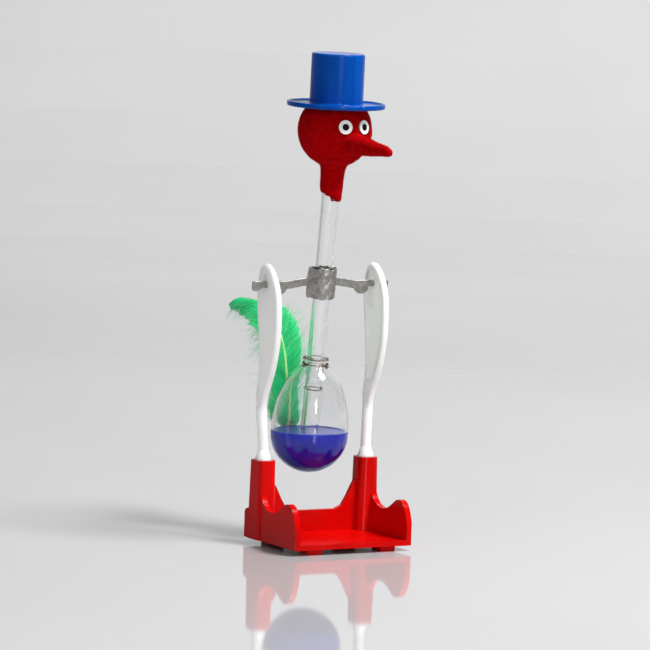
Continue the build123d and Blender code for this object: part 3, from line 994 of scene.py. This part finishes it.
def make_vane(material):
    """Close barbs on both sides, down near the foot, loose strands under the bend."""
    rng = random.Random(SEED + 1)
    line, tangents = rachis()
    last = len(line) - 1
    out = ([], [], [])
    down = Vector((0, 0, -1))

    def spot(s):
        k = min(last, int(s * last))
        return line[k], tangents[k], Vector((0, -tangents[k].z, tangents[k].y))

    def drift(size):
        return Vector((rng.gauss(0, 1), rng.gauss(0, 1), rng.gauss(0, 1))) * size

    for sign in (-1, 1):
        side = Vector((sign, 0, 0))
        for i in range(BARBS_PER_SIDE):
            s = 0.045 + 0.955 * i / (BARBS_PER_SIDE - 1)
            point, along, normal = spot(s)
            split = 1 + 0.10 * clump(s, sign, 38) + 0.07 * clump(s, sign, 150)
            length = half_width(s, sign) / 0.80 * split * rng.uniform(0.94, 1.05) * MM
            opening = 64 - 22 * math.exp(-(((s - 0.2) / 0.12) ** 2)) + 14 * math.exp(-s / 0.04)
            angles = (opening + 6 * clump(s, sign, 60), opening - 26)
            away = -0.10 if s < 0.3 else 0.10 * clump(s, sign, 25)
            lean = (side + normal * away).normalized()
            bend = min(1.0, max(0.0, (s - 0.45) / 0.3))
            sag = 1.5 if sign < 0 else 0.8
            droop = 0.06 + sag * bend * (1.0 - 0.15 * max(0.0, s - 0.8) / 0.2)
            tint = min(1.0, max(0.0, 0.55 + 0.30 * clump(s, sign, 90) + rng.gauss(0, 0.10)))
            axes = (lean, along, down)
            barb(out, point, axes, length, BARB_W * MM, angles, droop, drift(0.05), tint)
        for _ in range(DOWN_PER_SIDE):
            s = 0.05 + 0.55 * rng.random()
            point, along, normal = spot(s)
            away = rng.uniform(-0.6, -0.05) if s < 0.3 else rng.uniform(-0.6, 0.45)
            tilt = (side + normal * away).normalized()
            length = rng.uniform(7.0, 15.0) * MM
            angles = (rng.uniform(25, 75), rng.uniform(0, 60))
            axes = (tilt, along, down)
            barb(out, point, axes, length, DOWN_W * MM, angles, 0.1, drift(0.30), rng.random())
        for _ in range(STRANDS_NEAR if sign < 0 else STRANDS_FAR):
            s = 0.42 + 0.42 * rng.random()
            point, along, normal = spot(s)
            length = rng.uniform(10.0, 17.0) * MM
            angles = (rng.uniform(50, 80), rng.uniform(30, 60))
            lean = side * (0.6 if sign < 0 else 1.0)
            axes = (lean, along, down)
            barb(out, point, axes, length, STRAND_W * MM, angles, 1.3, drift(0.25), rng.random())
    verts, faces, tints = out
    obj = mesh_piece("plume", verts, faces)
    layer = obj.data.attributes.new("tint", "FLOAT", "POINT")
    layer.data.foreach_set("value", tints)
    finish_piece(obj, "bird", "green_feather", material, "feather_vane")


# ---- folded tin strip -------------------------------------------------
def wing_edges(x):
    """Lower and upper edge of the strip at x, about the hinge axis."""
    a = abs(x)
    rise = 0.0
    if a < 15.5:
        t = (15.5 - a) / (15.5 - 5.0)
        rise = WING_CRANK * min(1.0, t * t * (3 - 2 * t))
    top = WING_TOP + rise
    low = WING_BOTTOM + rise
    if NOTCH_IN < a < NOTCH_OUT:
        slope = max(0.0, (a - LUG_START) / (NOTCH_OUT - LUG_START))
        low = -TIN_T / 2 + (LUG_BOTTOM + TIN_T / 2) * slope
    elif a >= NOTCH_OUT:
        curl = max(0.0, (a - WING_TIP + 0.9) / 0.9)
        low = LUG_BOTTOM + 0.75 * (1 - math.sqrt(max(0.0, 1 - curl * curl)))
    else:
        reach = LOBE_R * LOBE_R - (a - LOBE_X) ** 2
        if reach > 0:
            lobe = WING_BOTTOM - LOBE_DROP + LOBE_R - math.sqrt(reach)
            low = min(low, lobe)
    return low, top


def make_wings(material):
    """The folded wings: a thin rounded section swept along X, slightly dented."""
    stations = [-WING_TIP]
    x = -WING_TIP
    while x < WING_TIP:
        x += 0.35
        stations.append(min(x, WING_TIP))
    for edge in (NOTCH_IN, NOTCH_OUT):
        for sign in (-1, 1):
            stations += [sign * (edge - 0.02), sign * (edge + 0.02)]
    stations = sorted(set(stations))
    verts = []
    faces = []
    rows = 14
    half = TIN_T / 2
    for x in stations:
        low, top = wing_edges(x)
        dent = 0.0 if NOTCH_IN - 1 < abs(x) < NOTCH_OUT + 1 else 1.0
        section = []
        for k in range(rows + 1):
            section.append((-half, low + half + (top - low - 2 * half) * k / rows))
        for k in range(1, 6):
            a = math.pi * k / 6
            section.append((-half * math.cos(a), top - half + half * math.sin(a)))
        for k in range(rows + 1):
            section.append((half, top - half - (top - low - 2 * half) * k / rows))
        for k in range(1, 6):
            a = math.pi * k / 6
            section.append((half * math.cos(a), low + half - half * math.sin(a)))
        for y, z in section:
            seed = Vector((x * 0.16, z * 0.3, 5.0))
            wave = dent * (0.22 * noise.noise(seed) + 0.06 * noise.noise(seed * 4))
            edge = dent * 0.10 * noise.noise(Vector((x * 0.5, y * 2, z * 0.4)))
            verts.append(place(STRIP, x, y + wave, z + edge))
    size = 2 * (rows + 1) + 10
    for i in range(len(stations) - 1):
        for k in range(size):
            j = (k + 1) % size
            faces.append((i * size + k, i * size + j, (i + 1) * size + j, (i + 1) * size + k))
    faces.append(list(range(size)))
    last = (len(stations) - 1) * size
    faces.append([last + k for k in reversed(range(size))])
    obj = fix_normals(mesh_piece("tin_wings", verts, faces))
    split = obj.modifiers.new("edges", "EDGE_SPLIT")
    split.split_angle = math.radians(50)
    finish_piece(obj, "bird", "tinplate", material, "pivot_strip")


def pleat(angle, z):
    """Crushed diagonal pleats, in millimetres outwards."""
    run = angle * 2.6 + z * 0.55 + 1.2 * noise.noise(Vector((angle, z * 0.3, 0)))
    fold = abs(math.sin(run)) ** 0.7
    small = 0.14 * noise.noise(Vector((angle * 4, z * 1.1, 9)))
    return 0.42 * fold + small


def make_collar(material):
    """The strip's two halves pinched together at the sides and crimped round the stem."""
    verts = []
    faces = []
    across = 120
    up = 44
    for half in (-1, 1):
        base = len(verts)
        for i in range(across + 1):
            t = i / across
            angle = math.pi * t
            for j in range(up + 1):
                v = j / up
                ragged = 0.55 * noise.noise(Vector((t * 7 + half * 3, v * 1.5, 2)))
                z = (v - 0.5) * (COLLAR_H + ragged * 2 * abs(v - 0.5) * 2)
                out = COLLAR_R + pleat(angle * half, z)
                x = -math.cos(angle) * out
                y = half * math.sin(angle) * out
                pinch = max(0.0, 1 - math.sin(angle) / 0.42)
                x += math.copysign(1, x) * pinch * (FLANGE_X - COLLAR_R - 0.4)
                plane = -TUBE_Y + half * 0.22
                y = y * (1 - pinch) + plane * pinch
                verts.append(place(TUBE, x, y, z))
        for i in range(across):
            for j in range(up):
                a = base + i * (up + 1) + j
                b = a + up + 1
                faces.append((a, b, b + 1, a + 1) if half < 0 else (a, a + 1, b + 1, b))
    obj = mesh_piece("tin_collar", verts, faces)
    fix_normals(obj)
    shell = obj.modifiers.new("sheet", "SOLIDIFY")
    shell.thickness = SHEET_T * MM
    shell.offset = -1.0
    finish_piece(obj, "bird", "tinplate", material)


# ---- studio -----------------------------------------------------------
def make_camera():
    a = math.radians(CAM_AZIMUTH)
    e = math.radians(CAM_ELEVATION)
    r = math.radians(CAM_ROLL)
    back = Vector((-math.sin(a) * math.cos(e), -math.cos(a) * math.cos(e), math.sin(e)))
    right = Vector((math.cos(a), -math.sin(a), 0))
    up = back.cross(right)
    rolled_right = right * math.cos(r) + up * math.sin(r)
    rolled_up = up * math.cos(r) - right * math.sin(r)
    matrix = Matrix((rolled_right, rolled_up, back)).transposed().to_4x4()
    matrix.translation = (Vector(CAM_TARGET) + back * CAM_DISTANCE) * MM
    data = bpy.data.cameras.new("camera")
    data.lens = CAM_LENS
    data.sensor_width = CAM_SENSOR
    data.clip_start = 0.05
    data.clip_end = 20
    camera = bpy.data.objects.new("camera", data)
    camera.matrix_world = matrix
    bpy.context.scene.collection.objects.link(camera)
    bpy.context.scene.camera = camera


def area_light(name, place_at, target, size, power):
    """A soft rectangular lamp that no camera sees directly."""
    data = bpy.data.lights.new(name, "AREA")
    data.shape = "RECTANGLE"
    data.size, data.size_y = size
    data.energy = power
    light = bpy.data.objects.new(name, data)
    direction = Vector(target) - Vector(place_at)
    light.rotation_euler = direction.to_track_quat("-Z", "Y").to_euler()
    light.location = place_at
    light.visible_camera = False
    bpy.context.scene.collection.objects.link(light)


def make_sweep():
    """Round studio sweep: a flat floor whose edge curves up into a wall on every side."""
    profile = [(0.0, 0.0), (300.0, 0.0), (STAGE_FLOOR_R, 0.0)]
    for k in range(1, 17):
        a = math.pi / 2 * k / 16
        out = STAGE_FLOOR_R + STAGE_CURVE_R * math.sin(a)
        profile.append((out, STAGE_CURVE_R * (1 - math.cos(a))))
    profile.append((STAGE_FLOOR_R + STAGE_CURVE_R, STAGE_TOP))
    sweep = lathe("sweep", profile, Matrix(), 96)
    sweep.data.materials.append(floor_surface())


def make_studio():
    make_sweep()
    world = bpy.data.worlds.new("studio")
    world.use_nodes = True
    background = world.node_tree.nodes["Background"]
    background.inputs["Color"].default_value = WORLD_COLOUR
    background.inputs["Strength"].default_value = WORLD_STRENGTH
    bpy.context.scene.world = world
    for row in LIGHTS:
        area_light(*row)
    bpy.context.scene.view_settings.view_transform = "Standard"


# ---- the scene --------------------------------------------------------
make_camera()
make_studio()
dress_stand()
clear = glue()
dress_head_trim(clear)
make_glue_dab(clear)
glass = clear_glass()
make_bulb(glass)
make_stem(glass)
make_head_glass(glass)
make_seal_lines(seal_brown())
make_liquid(blue_liquid())
make_hat(blue_plastic())
make_felt(red_felt(), felt_fibre())
make_eye_rims(pupil_black())
make_quill(quill_green())
make_vane(green_feather())
tin = tinplate()
make_wings(tin)
make_collar(tin)
